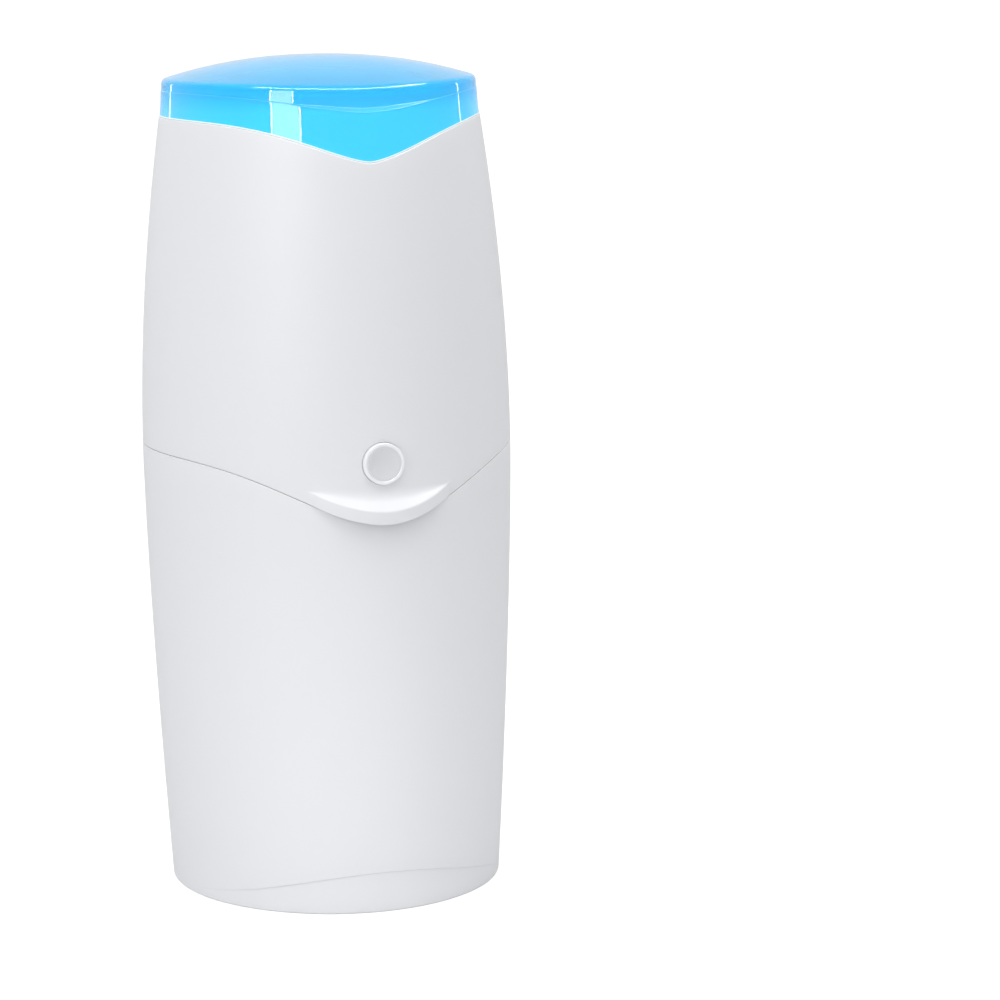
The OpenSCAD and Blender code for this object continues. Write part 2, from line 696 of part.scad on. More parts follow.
module cassette_sleeve() color([0.4, 0.76, 0.92])
    translate([0, 0, floor_top + sleeve_inset]) difference() {
        cylinder(r = cassette_r + 0.35, h = cassette_h - 2 * sleeve_inset, $fn = 128);
        translate([0, 0, -1]) cylinder(r = cassette_r + 0.05, h = cassette_h, $fn = 128);
    }

// The film, packed in pleats around the cassette's hub
module film_pack() color([0.94, 0.94, 0.95]) {
    in_r = bore_r + 2 * cassette_wall + 2.6;
    out_r = cassette_r - cassette_wall - 0.6;
    translate([0, 0, floor_top + cassette_wall + 0.3]) rotate_extrude($fn = 96) polygon(concat(
        [for (i = [0 : pleat_count - 1]) each [[out_r, i * pleat], [out_r - 1.2, (i + 0.5) * pleat]]],
        [for (i = [pleat_count - 1 : -1 : 0]) each [[in_r + 1.2, (i + 0.5) * pleat], [in_r, i * pleat]]]));
}

// ---- Clamp under the tray ----

module clamp_housing() color([0.8, 0.81, 0.83]) {
    difference() {
        union() {
            translate([0, 0, clamp_low]) difference() {
                cylinder(r = clamp_r, h = clamp_h, $fn = 128);
                translate([0, 0, -1]) cylinder(r = clamp_r - frame_wall, h = clamp_h + 1 - frame_wall,
                    $fn = 128);
            }
            translate([-frame_x - frame_wall, -frame_y - frame_wall, clamp_low])
                cube([2 * (frame_x + frame_wall), 2 * (frame_y + frame_wall), clamp_h]);
            for (x = [-1, 1], y = [-1, 1]) {
                bar_y([x * flap_pivot_x, flap_z], flap_pin_r + 2.2, y > 0 ? frame_y : -frame_y - 7,
                    y > 0 ? frame_y + 7 : -frame_y);
                translate([x * post_xy[0], y * post_xy[1], cutter_top])
                    cylinder(r = boss_r, h = clamp_top - cutter_top);
            }
        }
        translate([-frame_x, -frame_y, clamp_low - 1])
            cube([2 * frame_x, 2 * frame_y, clamp_h + 2]);
        for (x = [-1, 1]) {
            bar_y([x * flap_pivot_x, flap_z], flap_pin_r + pin_play, -frame_y - 8, frame_y + 8);
            for (y = [-1, 1])
                translate([x * post_xy[0], y * post_xy[1], clamp_top - 12])
                    cylinder(r = screw_r + slip, h = 13);
        }
        for (x = [-1, 1])
            translate([x * post_xy[0], -post_xy[1], cutter_top - 1])
                cylinder(r = screw_r + slip, h = 8);
    }
}

module clamp_screws() color([0.6, 0.61, 0.63]) {
    for (x = [-1, 1], y = [-1, 1])
        translate([x * post_xy[0], y * post_xy[1], floor_top]) {
            translate([0, 0, -screw_head_h]) cylinder(r1 = screw_r, r2 = screw_head_r,
                h = screw_head_h - 0.05);
            translate([0, 0, -clamp_screw_l]) cylinder(r = screw_r,
                h = clamp_screw_l - screw_head_h + 0.2);
        }
    for (x = [-1, 1])
        translate([x * post_xy[0], -post_xy[1], cutter_top - cutter_base_t]) mirror([0, 0, 1])
            screw(cutter_base_t + 5);
}

module flap_pins() color([0.7, 0.71, 0.73])
    for (x = [-1, 1])
        bar_y([x * flap_pivot_x, flap_z], flap_pin_r, -frame_y - 7, frame_y + 7);

// One torsion spring, with the leg that bears on the housing
module flap_spring() {
    length = coil_turns * coil_pitch;
    translate([flap_pivot_x, -length / 2, flap_z]) rotate([-90, 0, 0])
        coil(coil_r, wire_r, coil_turns, coil_pitch);
    translate([flap_pivot_x + coil_r, -length / 2 + wire_r, flap_z])
        cylinder(r = wire_r, h = spring_leg, $fn = 16);
}

module flap_springs() color([0.62, 0.63, 0.65])
    for (side = [0, 1])
        mirror([side, 0, 0]) flap_spring();

// One flap of the clamp: a ribbed plate on two knuckles
module flap() {
    edge_x = (flap_gap + lip_w) / 2;
    low = flap_z - flap_knuckle_r;
    difference() {
        union() {
            for (y = [-1, 1])
                bar_y([flap_pivot_x, flap_z], flap_knuckle_r, y > 0 ? knuckle_gap_y : -flap_w / 2,
                    y > 0 ? flap_w / 2 : -knuckle_gap_y);
            translate([edge_x, -flap_w / 2, low]) cube([flap_pivot_x - edge_x, flap_w, flap_t]);
            for (y = [-30, -10, 10, 30])
                translate([edge_x + lip_w / 2 + 0.3, y - 0.8, low - 2.6])
                    cube([flap_pivot_x - 14 - edge_x - lip_w / 2, 1.6, 3]);
        }
        bar_y([flap_pivot_x, flap_z], flap_pin_r + pin_play, -flap_w, flap_w);
        translate([flap_pivot_x - coil_r - wire_r - 1.3, -knuckle_gap_y, low - 1])
            cube([20, 2 * knuckle_gap_y, 20]);
    }
}

// The soft bead that grips a flap's edge and closes on its neighbour
module flap_lip() {
    r = flap_t / 2 + 1.2;
    near = flap_gap / 2;
    translate([0, flap_w / 2, flap_z - flap_knuckle_r + flap_t / 2]) rotate([90, 0, 0])
        linear_extrude(flap_w) difference() {
            union() {
                translate([near + r, 0]) circle(r = r);
                translate([near + r, -r]) square([lip_w - r, 2 * r]);
            }
            translate([near + lip_w / 2, -flap_t / 2]) square([lip_w, flap_t]);
        }
}

module flap_right() color([0.2, 0.45, 0.72]) flap();
module flap_left() color([0.2, 0.45, 0.72]) mirror([1, 0, 0]) flap();
module flap_right_lip() color([0.3, 0.32, 0.36]) flap_lip();
module flap_left_lip() color([0.3, 0.32, 0.36]) mirror([1, 0, 0]) flap_lip();

// ---- Film cutter, screwed to two posts of the clamp housing ----

module cutter_guard() color([0.2, 0.45, 0.72]) {
    tine = [[fork_w / 2, -1], [fork_w / 2, 8 - cutter_h], [fork_w * 0.32, -cutter_h],
        [fork_w * 0.16, -cutter_h], [fork_slot, 5 - cutter_h], [fork_slot, 17 - cutter_h]];
    difference() {
        union() {
            translate([-post_xy[0], -post_xy[1] - 5, cutter_top - cutter_base_t])
                cube([2 * post_xy[0], 10, cutter_base_t]);
            for (x = [-1, 1])
                translate([x * post_xy[0], -post_xy[1], cutter_top - cutter_base_t])
                    cylinder(r = 5, h = cutter_base_t);
            // The fork that the film is drawn into
            translate([0, -post_xy[1] + fork_t / 2, cutter_top]) rotate([90, 0, 0])
                linear_extrude(fork_t) polygon(concat(tine,
                    [for (i = [len(tine) - 1 : -1 : 0]) [-tine[i].x, tine[i].y]]));
        }
        blade_place() cube([blade_l + 0.1, blade_t + 0.1, blade_h + 0.1], center = true);
        for (x = [-1, 1])
            translate([x * post_xy[0], -post_xy[1], cutter_top - 2 * cutter_base_t])
                cylinder(r = screw_r + slip, h = 3 * cutter_base_t);
    }
}

module blade_place() {
    translate([0, -post_xy[1], cutter_top - 12]) rotate([0, 25, 0]) children();
}

module cutter_blade() color([0.75, 0.76, 0.78])
    blade_place() difference() {
        cube([blade_l, blade_t, blade_h], center = true);
        for (side = [-1, 1])
            translate([-blade_l, side * blade_t / 2, -blade_h / 2]) rotate([side * 14, 0, 0])
                translate([0, -blade_t / 2, -1.2]) cube([2 * blade_l, blade_t, 2.4]);
    }

// ---- Lid ----

module lid_shell() color([0.25, 0.72, 0.95, 0.6]) {
    difference() {
        union() {
            loft(concat(
                [for (f = [0.12, 0.35, 0.6, 0.82]) dome_ring(f, lid_wall)],
                [ring(function (a) lid_edge(a) - lid_wall - 0.6,
                    function (a) -step_in(a) - lid_edge_r - 0.6),
                 ring(function (a) lid_edge(a) - lid_edge_r - 0.5, function (a) -step_in(a) - lid_wall),
                 ring(function (a) crease(a) - 2, function (a) -step_in(a) - lid_wall),
                 ring(function (a) crease(a) - 2.4, -lid_wall),
                 ring(function (a) lid_low(a) + lid_gap, -lid_wall),
                 ring(function (a) lid_low(a) + lid_gap, 0),
                 ring(function (a) mix(lid_low(a), crease(a), 0.5), 0),
                 ring(function (a) crease(a), 0),
                 ring(function (a) crease(a) + 0.3, function (a) -step_in(a)),
                 ring(function (a) lid_edge(a) - lid_edge_r, function (a) -step_in(a)),
                 ring(function (a) lid_edge(a) - lid_edge_r * 0.3,
                    function (a) -step_in(a) - lid_edge_r * 0.3)],
                [for (f = [1, 0.82, 0.6, 0.35, 0.12]) dome_ring(f, 0)]), false);
            knuckle(lid_axis_y, lid_z, lid_knuckle_r, -lid_hinge_w / 4, lid_hinge_w / 4, 1, lid_leaf_h);
        }
        bar_x([lid_axis_y, lid_z], lid_pin_r + pin_play, -lid_hinge_w, lid_hinge_w);
    }
}

base_shell();
latch_keeper();
keeper_screws();
head_hinge_pin();
head_shell();
lid_hinge_pin();
button_housing();
housing_screws();
latch_pin();
button_spring();
release_button();
latch_lever();
cassette_tray();
tray_screws();
cassette_tub();
cassette_cap();
cassette_collar();
cassette_sleeve();
film_pack();
clamp_housing();
clamp_screws();
flap_pins();
flap_springs();
cutter_guard();
cutter_blade();
flap_left();
flap_left_lip();
flap_right();
flap_right_lip();
lid_shell();
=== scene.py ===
"""Looks for the nappy bin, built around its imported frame.

Sizes are in millimetres in the frame's own axes (+Z up, the front faces -Y) and become metres in
make(). Angles around the form are in degrees from the front towards +X.
"""

import json
import math

import bmesh
import bpy
from mathutils import Matrix, Vector


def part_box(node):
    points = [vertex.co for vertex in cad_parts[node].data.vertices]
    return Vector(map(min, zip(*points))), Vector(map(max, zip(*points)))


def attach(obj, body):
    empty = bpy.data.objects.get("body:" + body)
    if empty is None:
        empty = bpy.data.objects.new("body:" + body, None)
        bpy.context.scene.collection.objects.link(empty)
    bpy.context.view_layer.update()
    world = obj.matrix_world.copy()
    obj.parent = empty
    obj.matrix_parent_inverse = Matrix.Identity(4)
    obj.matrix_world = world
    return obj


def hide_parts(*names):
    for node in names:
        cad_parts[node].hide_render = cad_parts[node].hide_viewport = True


MM = 0.001
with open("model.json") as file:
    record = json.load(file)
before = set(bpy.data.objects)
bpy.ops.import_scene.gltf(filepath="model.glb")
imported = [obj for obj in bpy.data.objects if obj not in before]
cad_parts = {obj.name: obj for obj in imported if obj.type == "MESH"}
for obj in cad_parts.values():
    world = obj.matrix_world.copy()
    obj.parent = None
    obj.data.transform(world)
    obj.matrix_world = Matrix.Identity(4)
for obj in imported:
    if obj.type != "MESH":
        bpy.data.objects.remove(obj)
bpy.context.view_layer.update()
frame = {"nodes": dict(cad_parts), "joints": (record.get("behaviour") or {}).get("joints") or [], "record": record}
joints = {j["name"]: j for j in frame["joints"]}


def corners(node):
    """Lowest and highest corner of a CAD node, in millimetres."""
    low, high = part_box(node)
    return low / MM, high / MM


# ---- Driving sizes, as in the part's source unless a comment says otherwise ----

BODY_W, BODY_D, FOOT_W, RIM_W = 262.7, 290.5, 236.9, 225.8
WAIST_Z, BELLY_CURVE, SHOULDER_CURVE = 315.0, 1.5, 1.886
# The joint dips less at the front than in the solids, and so the lip's face is lower
SEAM_Z, SEAM_DIP, SEAM_BEND = 320.2, 41.0, (31.9, 1.865)
LIP_OUT, LIP_ANGLE, LIP_BLEND = 9.0, 20.6, 0.25
LIP_TIP_H, LIP_FACE_RISE, LIP_ROOT_UP, LIP_LEDGE_RISE, LIP_ROOT_TRIM = 8.6, 0.2, 0.6, 10.6, 7.0
LID_Z, LID_DIP, LID_BEND = 552.0, 27.7, (27.1, 1.5)
# Both joints are drawn closer than in the solids
SEAM_GAP, LID_GAP = 0.4, 0.2
WALL, FLOOR_T, TONGUE_IN, TONGUE_T, TONGUE_H = 2.6, 3.0, 3.2, 1.6, 5.0
# Below the rim the wall thins down from the tongue between these depths
TONGUE_ROOT, TONGUE_FADE = 6.0, 10.0
# The arch over the foot is lower than in the solids, and fades sooner
ARCH_LOW, ARCH_Z, ARCH_BEND = 3.0, 28.5, (48.0, 2.0)
TOE_STEP, TOE_BEND, TOE_EDGE, SOLE_IN = 1.0, (52.0, 4.0), 1.6, 3.0
# The step at the lid's crease is shallower than in the solids away from the front, and its ledge
# slopes
CREASE_Z, CREASE_DIP, CREASE_BEND = 570.2, 11.9, (29.9, 1.7)
CREASE_STEP, CREASE_LEDGE, LEDGE_BEND, LEDGE_RISE = 0.4, 2.6, (20.0, 3.0), 0.85
# The lid leans in less than in the solids, and its dome is a little fuller, with a rounder edge
LID_SET_IN, LID_LEAN_OUT, LEAN_CURVE = 0.4, 2.8, 1.5
LID_TOP, DOME_CURVE = 594.0, 2.2
LID_EDGE_Z, LID_EDGE_DIP, EDGE_BEND = 580.5, 2.3, (40.0, 2.0)
LID_EDGE_R, LID_EDGE_TRIM = 9.0, 5.0
LID_WALL, NECK_IN, NECK_WALL, NECK_DROP = 2.4, 3.9, 2.2, 3.2
# Height of the painted bright line, a glowing band, along the lid's lower edge
PAINTED_LINE_H = 0.8
LEDGE_Z, LEDGE_IN, SHELF_T, SHELF_FADE = 541.0, 8.7, 4.0, 6.0
HINGE_W, KNUCKLE_R, PIN_R, LEAF_H = 56.0, 5.5, 2.5, 22.0
LID_HINGE_W, LID_KNUCKLE_R, LID_PIN_R, LID_LEAF_H = 44.0, 4.6, 1.8, 15.0
TURN_GAP, PIN_PLAY = 0.6, 0.05
# The dish is a little wider than in the solids, and the hole closer to the button
BUTTON_R, DISH_R, DISH_DEPTH, BUTTON_WALL, STEM_R = 14.5, 11.9, 1.8, 2.0, 3.5
HOLE_R = BUTTON_R + 0.14
BUTTON_LENGTH, BUTTON_EDGE = 14.0, 0.4
BOSS_R, SCREW_R, SCREW_IN, SCREW_HEAD_R, SCREW_HEAD_H, TAB_T = 4.6, 1.5, 5.0, 3.0, 1.8, 2.5
FLAP_X, FLAP_T, LIP_W, FLAP_GAP = 51.0, 2.6, 6.0, 0.6

# Places read from the frame
HEAD_AXIS = Vector(joints["head_hinge"]["pos_m"]) / MM
LID_AXIS = Vector(joints["lid_hinge"]["pos_m"]) / MM
BUTTON_LOW, BUTTON_HIGH = corners("release_button")
BUTTON_Z = (BUTTON_LOW.z + BUTTON_HIGH.z) / 2
BUTTON_FRONT = BUTTON_LOW.y

PLAN_RATIO = BODY_D / BODY_W
FOOT_IN, RIM_IN = (BODY_W - FOOT_W) / 2, (BODY_W - RIM_W) / 2
# Directions around the form, finer across the front, where the joints dip
STEPS = [*range(-180, -40, 3), *range(-40, 40, 1), *range(40, 180, 3)]


# ---- The form ----


def mix(a, b, f):
    return a + (b - a) * f


def dip(a, bend):
    return math.exp(-((abs(a) / bend[0]) ** bend[1]))


def half_w(z):
    if z < WAIST_Z:
        return BODY_W / 2 - FOOT_IN * ((WAIST_Z - z) / WAIST_Z) ** BELLY_CURVE
    return BODY_W / 2 - RIM_IN * ((z - WAIST_Z) / (LID_Z - WAIST_Z)) ** SHOULDER_CURVE


def form_y(x, z, out=0.0):
    wide = half_w(z) + out
    return (half_w(z) * PLAN_RATIO + out) * math.sqrt(max(0.0, 1 - (x / wide) ** 2))


def form_point(a, z, out=0.0):
    wide, deep = half_w(z) + out, half_w(z) * PLAN_RATIO + out
    s, c = math.sin(math.radians(a)), math.cos(math.radians(a))
    r = wide * deep / math.hypot(deep * s, wide * c)
    return Vector((r * s, -r * c, z))


def seam(a):
    return SEAM_Z - SEAM_DIP * dip(a, SEAM_BEND)


def lid_low(a):
    return LID_Z - LID_DIP * dip(a, LID_BEND)


def crease(a):
    return CREASE_Z - CREASE_DIP * dip(a, CREASE_BEND)


def step_in(a):
    return CREASE_STEP + CREASE_LEDGE * dip(a, LEDGE_BEND)


def lid_edge(a):
    return LID_EDGE_Z - LID_EDGE_DIP * dip(a, EDGE_BEND)


def skirt_point(a, z, out):
    share = min(1.0, max(0.0, z - LID_Z) / (LID_EDGE_Z - LID_Z))
    return form_point(a, z, out - LID_SET_IN + LID_LEAN_OUT * share**LEAN_CURVE)


def lip_out(a):
    return LIP_OUT * max(0.0, 1 - (a / LIP_ANGLE) ** 2)


def lip_span(a):
    t = min(1.0, abs(a) / LIP_ANGLE)
    return 1 - (math.hypot(t, LIP_BLEND) - LIP_BLEND) / (math.hypot(1, LIP_BLEND) - LIP_BLEND)


# ---- Profiles: corners (out, z, trim), each rounded off from trim before it to trim after it ----


def rounded(points, closed, arc=4):
    """The profile with its corners rounded, as (out, z) pairs, always the same number of them."""
    result = []
    count = len(points)
    for i, (out, z, trim) in enumerate(points):
        here = Vector((out, z))
        if trim == 0 or (not closed and i in (0, count - 1)):
            result.append(here)
            continue
        before = Vector(points[i - 1][:2]) - here
        after = Vector(points[(i + 1) % count][:2]) - here
        cut = min(trim, 0.45 * before.length, 0.45 * after.length)
        start = here + before.normalized() * cut if before.length else here
        end = here + after.normalized() * cut if after.length else here
        for k in range(arc + 1):
            t = k / arc
            result.append(start * (1 - t) ** 2 + here * 2 * t * (1 - t) + end * t**2)
    return result


def spaced(z0, z1, out, count):
    """Corners along a wall, strictly between two heights, so that it follows the form."""
    return [(out, mix(z0, z1, k / count), 0) for k in range(1, count)]


def tub_profile(a):
    toe = TOE_STEP * dip(a, TOE_BEND)
    arch = ARCH_LOW + (ARCH_Z - ARCH_LOW) * dip(a, ARCH_BEND)
    rim = seam(a) - SEAM_GAP
    inner = -TONGUE_IN - TONGUE_T
    return rounded(
        [
            (-toe - SOLE_IN, 0, 0),
            (-toe, 0, TOE_EDGE),
            *spaced(1.0, arch, -toe, 4),
            (-toe, arch, 0.3),
            (0, arch + TOE_STEP, 0.4),
            *spaced(arch + TOE_STEP, rim, 0, 22),
            (0, rim, 0.35),
            (-TONGUE_IN, rim, 0.3),
            (-TONGUE_IN, rim + TONGUE_H, 0.4),
            (inner, rim + TONGUE_H, 0.4),
            (inner, rim - TONGUE_ROOT, 0.8),
            (-WALL, rim - TONGUE_FADE, 1.0),
            *spaced(rim - TONGUE_FADE, max(arch, 12), -WALL, 12),
            (-WALL - toe, max(arch, 8), 1.0),
            (-WALL - toe, FLOOR_T, 4.0),
            (-WALL - toe - 12, FLOOR_T, 0),
        ],
        closed=False,
    )


def head_profile(a):
    lip, low, top = lip_out(a), seam(a), lid_low(a)
    face = low + LIP_TIP_H + LIP_FACE_RISE * lip_span(a) ** 2
    root = low + LIP_TIP_H + LIP_ROOT_UP + LIP_LEDGE_RISE * lip_span(a)
    shelf = min(top, LEDGE_Z) - SHELF_T
    rim = crease(a) - NECK_DROP
    neck = -NECK_IN - NECK_WALL
    return rounded(
        [
            (lip, low, 0.35),
            (lip, face, 1.0),
            (0, root, LIP_ROOT_TRIM),
            *spaced(root + LIP_ROOT_TRIM, top, 0, 22),
            (0, top, 1.3),
            (-NECK_IN, top, 0.5),
            (-NECK_IN, rim, 0.7),
            (neck, rim, 0.7),
            (neck, LEDGE_Z, 0.5),
            (-LEDGE_IN, LEDGE_Z, 0.5),
            (-LEDGE_IN, shelf, 0.6),
            (-WALL, shelf - SHELF_FADE, 2.0),
            *spaced(shelf - 8, root, -WALL, 12),
            (-WALL, root - 2, 2.0),
            (lip - WALL, face - WALL, 1.0),
            (lip - WALL, low, 0.4),
        ],
        closed=True,
    )


def dome(a, f, down=0.0):
    """A point of the lid's dome, at a share f of the way from its crest to its edge."""
    edge = skirt_point(a, lid_edge(a), -step_in(a) - LID_EDGE_R)
    return Vector((edge.x * f, edge.y * f, LID_TOP - (LID_TOP - edge.z) * f**DOME_CURVE - down))


def lid_profile(a):
    """The lid's skirt, from the inside of its upper edge round to the outside."""
    step, low, mark, edge = step_in(a), lid_low(a) + LID_GAP, crease(a), lid_edge(a)
    # The dome's slope carried out to the skirt gives the corner that is rounded off
    reach = skirt_point(a, edge, -step - LID_EDGE_R).to_2d().length
    fall = DOME_CURVE * (LID_TOP - edge) / reach * LID_EDGE_R
    return rounded(
        [
            (-step - LID_WALL, edge - LID_EDGE_R - 0.8, 2.0),
            (-step - LID_WALL, mark - 2, 0.4),
            (-LID_WALL, mark - 2.4, 0.4),
            (-LID_WALL, low, 0.5),
            (0, low, 0.4),
            (0, low + PAINTED_LINE_H, 0),
            *spaced(low + PAINTED_LINE_H, mark, 0, 5),
            (0, mark, 0.4),
            (-step, mark + LEDGE_RISE * step, 0.5),
            (-step, edge - fall, LID_EDGE_TRIM),
            (-step - LID_EDGE_R, edge, 0),
        ],
        closed=False,
        arc=7,
    )


# ---- Mesh building ----


def make(name, points, faces, material, sharp=35):
    """A mesh object from points in millimetres, smooth apart from edges sharper than the angle."""
    mesh = bpy.data.meshes.new(name)
    mesh.from_pydata([Vector(p) * MM for p in points], [], faces)
    obj = bpy.data.objects.new(name, mesh)
    bpy.context.scene.collection.objects.link(obj)
    tidy(obj)
    smooth(obj, sharp)
    obj.data.materials.append(material)
    return obj


def tidy(obj):
    work = bmesh.new()
    work.from_mesh(obj.data)
    bmesh.ops.remove_doubles(work, verts=work.verts, dist=1e-6)
    bmesh.ops.dissolve_degenerate(work, edges=work.edges, dist=1e-6)
    bmesh.ops.recalc_face_normals(work, faces=work.faces)
    work.to_mesh(obj.data)
    work.free()


def smooth(obj, sharp):
    obj.data.shade_smooth()
    obj.data.set_sharp_from_angle(angle=math.radians(sharp))


def loft(rows, closed, ends=(None, None)):
    """Points and faces of a skin through rows of points, one row per direction around the form.
    An open skin ends in a fan to each of the points in ends."""
    n, m = len(rows), len(rows[0])
    points = [p for row in rows for p in row]
    faces = []
    for i in range(n):
        k = (i + 1) % n
        for j in range(m if closed else m - 1):
            up = (j + 1) % m
            faces.append((i * m + j, k * m + j, k * m + up, i * m + up))
    for column, end in zip((0, m - 1), ends):
        if end is not None:
            points.append(end)
            hub = len(points) - 1
            for i in range(n):
                k = (i + 1) % n
                faces.append((i * m + column, k * m + column, hub))
    return points, faces


def form_rows(profile):
    return [[form_point(a, z, out) for out, z in profile(a)] for a in STEPS]


def lathe(profile, count=96):
    """Rows of points of a profile of (radius, height) turned about +Z."""
    turns = [2 * math.pi * k / count for k in range(count)]
    return [[Vector((r * math.cos(t), r * math.sin(t), h)) for r, h in profile] for t in turns]


def rod(axis, centre, r, low, high, count=32, edge=0.0):
    """Points and faces of a round bar along axis 0, 1 or 2, its ends chamfered by edge."""
    others = [i for i in range(3) if i != axis]
    rows = []
    for k in range(count):
        t = 2 * math.pi * k / count
        row = []
        for radius, place in ((r - edge, low), (r, low + edge), (r, high - edge), (r - edge, high)):
            p = Vector((0, 0, 0))
            p[axis] = place
            p[others[0]] = centre[0] + radius * math.cos(t)
            p[others[1]] = centre[1] + radius * math.sin(t)
            row.append(p)
        rows.append(row)
    hubs = []
    for place in (low, high):
        p = Vector((0, 0, 0))
        p[axis], p[others[0]], p[others[1]] = place, centre[0], centre[1]
        hubs.append(p)
    return loft(rows, False, hubs)


def prism(outline, x0, x1, edge=0.5):
    """Points and faces of an outline of (y, z) points extruded along X, its ends chamfered."""
    centre = sum((Vector(p) for p in outline), Vector((0, 0))) / len(outline)
    rows = []
    for p in outline:
        p = Vector(p)
        inner = p + (centre - p).normalized() * edge
        rows.append([(x0, *inner), (x0 + edge, *p), (x1 - edge, *p), (x1, *inner)])
    return loft([[Vector(q) for q in row] for row in rows], False,
                (Vector((x0, *centre)), Vector((x1, *centre))))


def merged(pieces):
    points, faces = [], []
    for more, quads in pieces:
        faces += [tuple(i + len(points) for i in face) for face in quads]
        points += more
    return points, faces


def combine(obj, operation, pieces, sharp):
    """Adds closed pieces to the object's mesh, or cuts them out of it."""
    tool = make(obj.name + "_tool", *merged(pieces), obj.data.materials[0])
    change = obj.modifiers.new("combine", "BOOLEAN")
    change.operation, change.object, change.solver = operation, tool, "EXACT"
    change.use_self = operation == "UNION"
    bpy.context.view_layer.update()
    done = obj.evaluated_get(bpy.context.evaluated_depsgraph_get())
    result = bpy.data.meshes.new_from_object(done)
    obj.modifiers.clear()
    obj.data = result
    bpy.data.objects.remove(tool)
    tidy(obj)
    smooth(obj, sharp)


def tube(path, r, sides=10):
    """Points and faces of a round tube along a path of points."""
    rows = []
    for i, p in enumerate(path):
        ahead = (path[min(i + 1, len(path) - 1)] - path[max(i - 1, 0)]).normalized()
        across = Vector((0.1, 0.2, 1)) if abs(ahead.z) < 0.9 else Vector((0, 1, 0))
        side = ahead.cross(across).normalized()
        other = ahead.cross(side)
        rows.append([p + (side * math.cos(t) + other * math.sin(t)) * r
                     for t in (2 * math.pi * k / sides for k in range(sides))])
    columns = [[row[k] for row in rows] for k in range(sides)]
    return loft(columns, False, (path[0], path[-1]))


def dress(obj, body, slot, *nodes):
    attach(obj, body)
    if nodes:
        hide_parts(*nodes)
    return obj


# ---- Materials ----


def material(name, colour, roughness, metallic=0.0, grain=900.0, bump=0.03, shade=0.03,
             stretch=(1, 1, 1), coat=0.0, sheen=0.0, **fixed):
    """A moulded or drawn surface: fine grain in its bump, and slow drifts in colour and gloss."""
    mat = bpy.data.materials.new(name)
    mat.use_nodes = True
    tree = mat.node_tree
    shader = tree.nodes["Principled BSDF"]
    shader.inputs["Metallic"].default_value = metallic
    shader.inputs["Coat Weight"].default_value = coat
    shader.inputs["Sheen Weight"].default_value = sheen
    for socket, value in fixed.items():
        shader.inputs[socket.replace("_", " ")].default_value = value
    place = tree.nodes.new("ShaderNodeTexCoord")
    scale = tree.nodes.new("ShaderNodeMapping")
    scale.inputs["Scale"].default_value = stretch
    tree.links.new(place.outputs["Object"], scale.inputs["Vector"])
    drift = tree.nodes.new("ShaderNodeTexNoise")
    drift.inputs["Scale"].default_value = 9.0
    drift.inputs["Detail"].default_value = 3.0
    fine = tree.nodes.new("ShaderNodeTexNoise")
    fine.inputs["Scale"].default_value = grain
    fine.inputs["Detail"].default_value = 4.0
    for noise in (drift, fine):
        tree.links.new(scale.outputs["Vector"], noise.inputs["Vector"])
    tint = tree.nodes.new("ShaderNodeMix")
    tint.data_type = "RGBA"
    tint.inputs[6].default_value = (*(c * (1 - shade) for c in colour), 1)
    tint.inputs[7].default_value = (*(min(1.0, c * (1 + shade)) for c in colour), 1)
    tree.links.new(drift.outputs["Fac"], tint.inputs[0])
    tree.links.new(tint.outputs[2], shader.inputs["Base Color"])
    gloss = tree.nodes.new("ShaderNodeMapRange")
    gloss.inputs["To Min"].default_value = roughness * 0.85
    gloss.inputs["To Max"].default_value = min(1.0, roughness * 1.15)
    tree.links.new(fine.outputs["Fac"], gloss.inputs["Value"])
    tree.links.new(gloss.outputs["Result"], shader.inputs["Roughness"])
    relief = tree.nodes.new("ShaderNodeBump")
    relief.inputs["Strength"].default_value = bump
    relief.inputs["Distance"].default_value = 0.0004
    tree.links.new(fine.outputs["Fac"], relief.inputs["Height"])
    tree.links.new(relief.outputs["Normal"], shader.inputs["Normal"])
    return mat


WHITE = material("white_shell", (0.74, 0.75, 0.775), 0.50, grain=1400, bump=0.05, shade=0.008)
BUTTON = material("button_white", (0.84, 0.85, 0.87), 0.22, grain=1200, bump=0.02, shade=0.008,
                  coat=0.2)
DISH = material("button_dish", (0.66, 0.67, 0.70), 0.34, grain=1200, bump=0.03, shade=0.01)
GREY = material("grey_plastic", (0.60, 0.61, 0.63), 0.48, grain=1100, bump=0.10, shade=0.02)
BLUE = material("mechanism_blue", (0.02, 0.12, 0.40), 0.42, grain=1100, bump=0.08, shade=0.05)
CASSETTE = material("cassette_blue", (0.010, 0.125, 0.38), 0.26, grain=1000, bump=0.03, shade=0.06)
SLEEVE = material("sleeve_blue", (0.10, 0.50, 0.79), 0.30, grain=500, bump=0.05, shade=0.03,
                  coat=0.4)
FILM = material("film", (0.82, 0.83, 0.85), 0.40, grain=260, bump=0.35, shade=0.03, sheen=0.1)
RUBBER = material("soft_lip", (0.025, 0.028, 0.034), 0.72, grain=1600, bump=0.22, shade=0.10)
STEEL = material("steel", (0.58, 0.59, 0.61), 0.30, 1.0, grain=700, bump=0.06, shade=0.05,
                 stretch=(0.08, 1, 1))
# The clear lid carries a painted glow: its emission colour is set by height below
CLEAR = material("clear_blue", (0.02, 0.68, 1.0), 0.03, grain=300, bump=0.004, shade=0.03,
                 Transmission_Weight=0.5, IOR=1.49, Specular_IOR_Level=0.6, Emission_Strength=1.0)


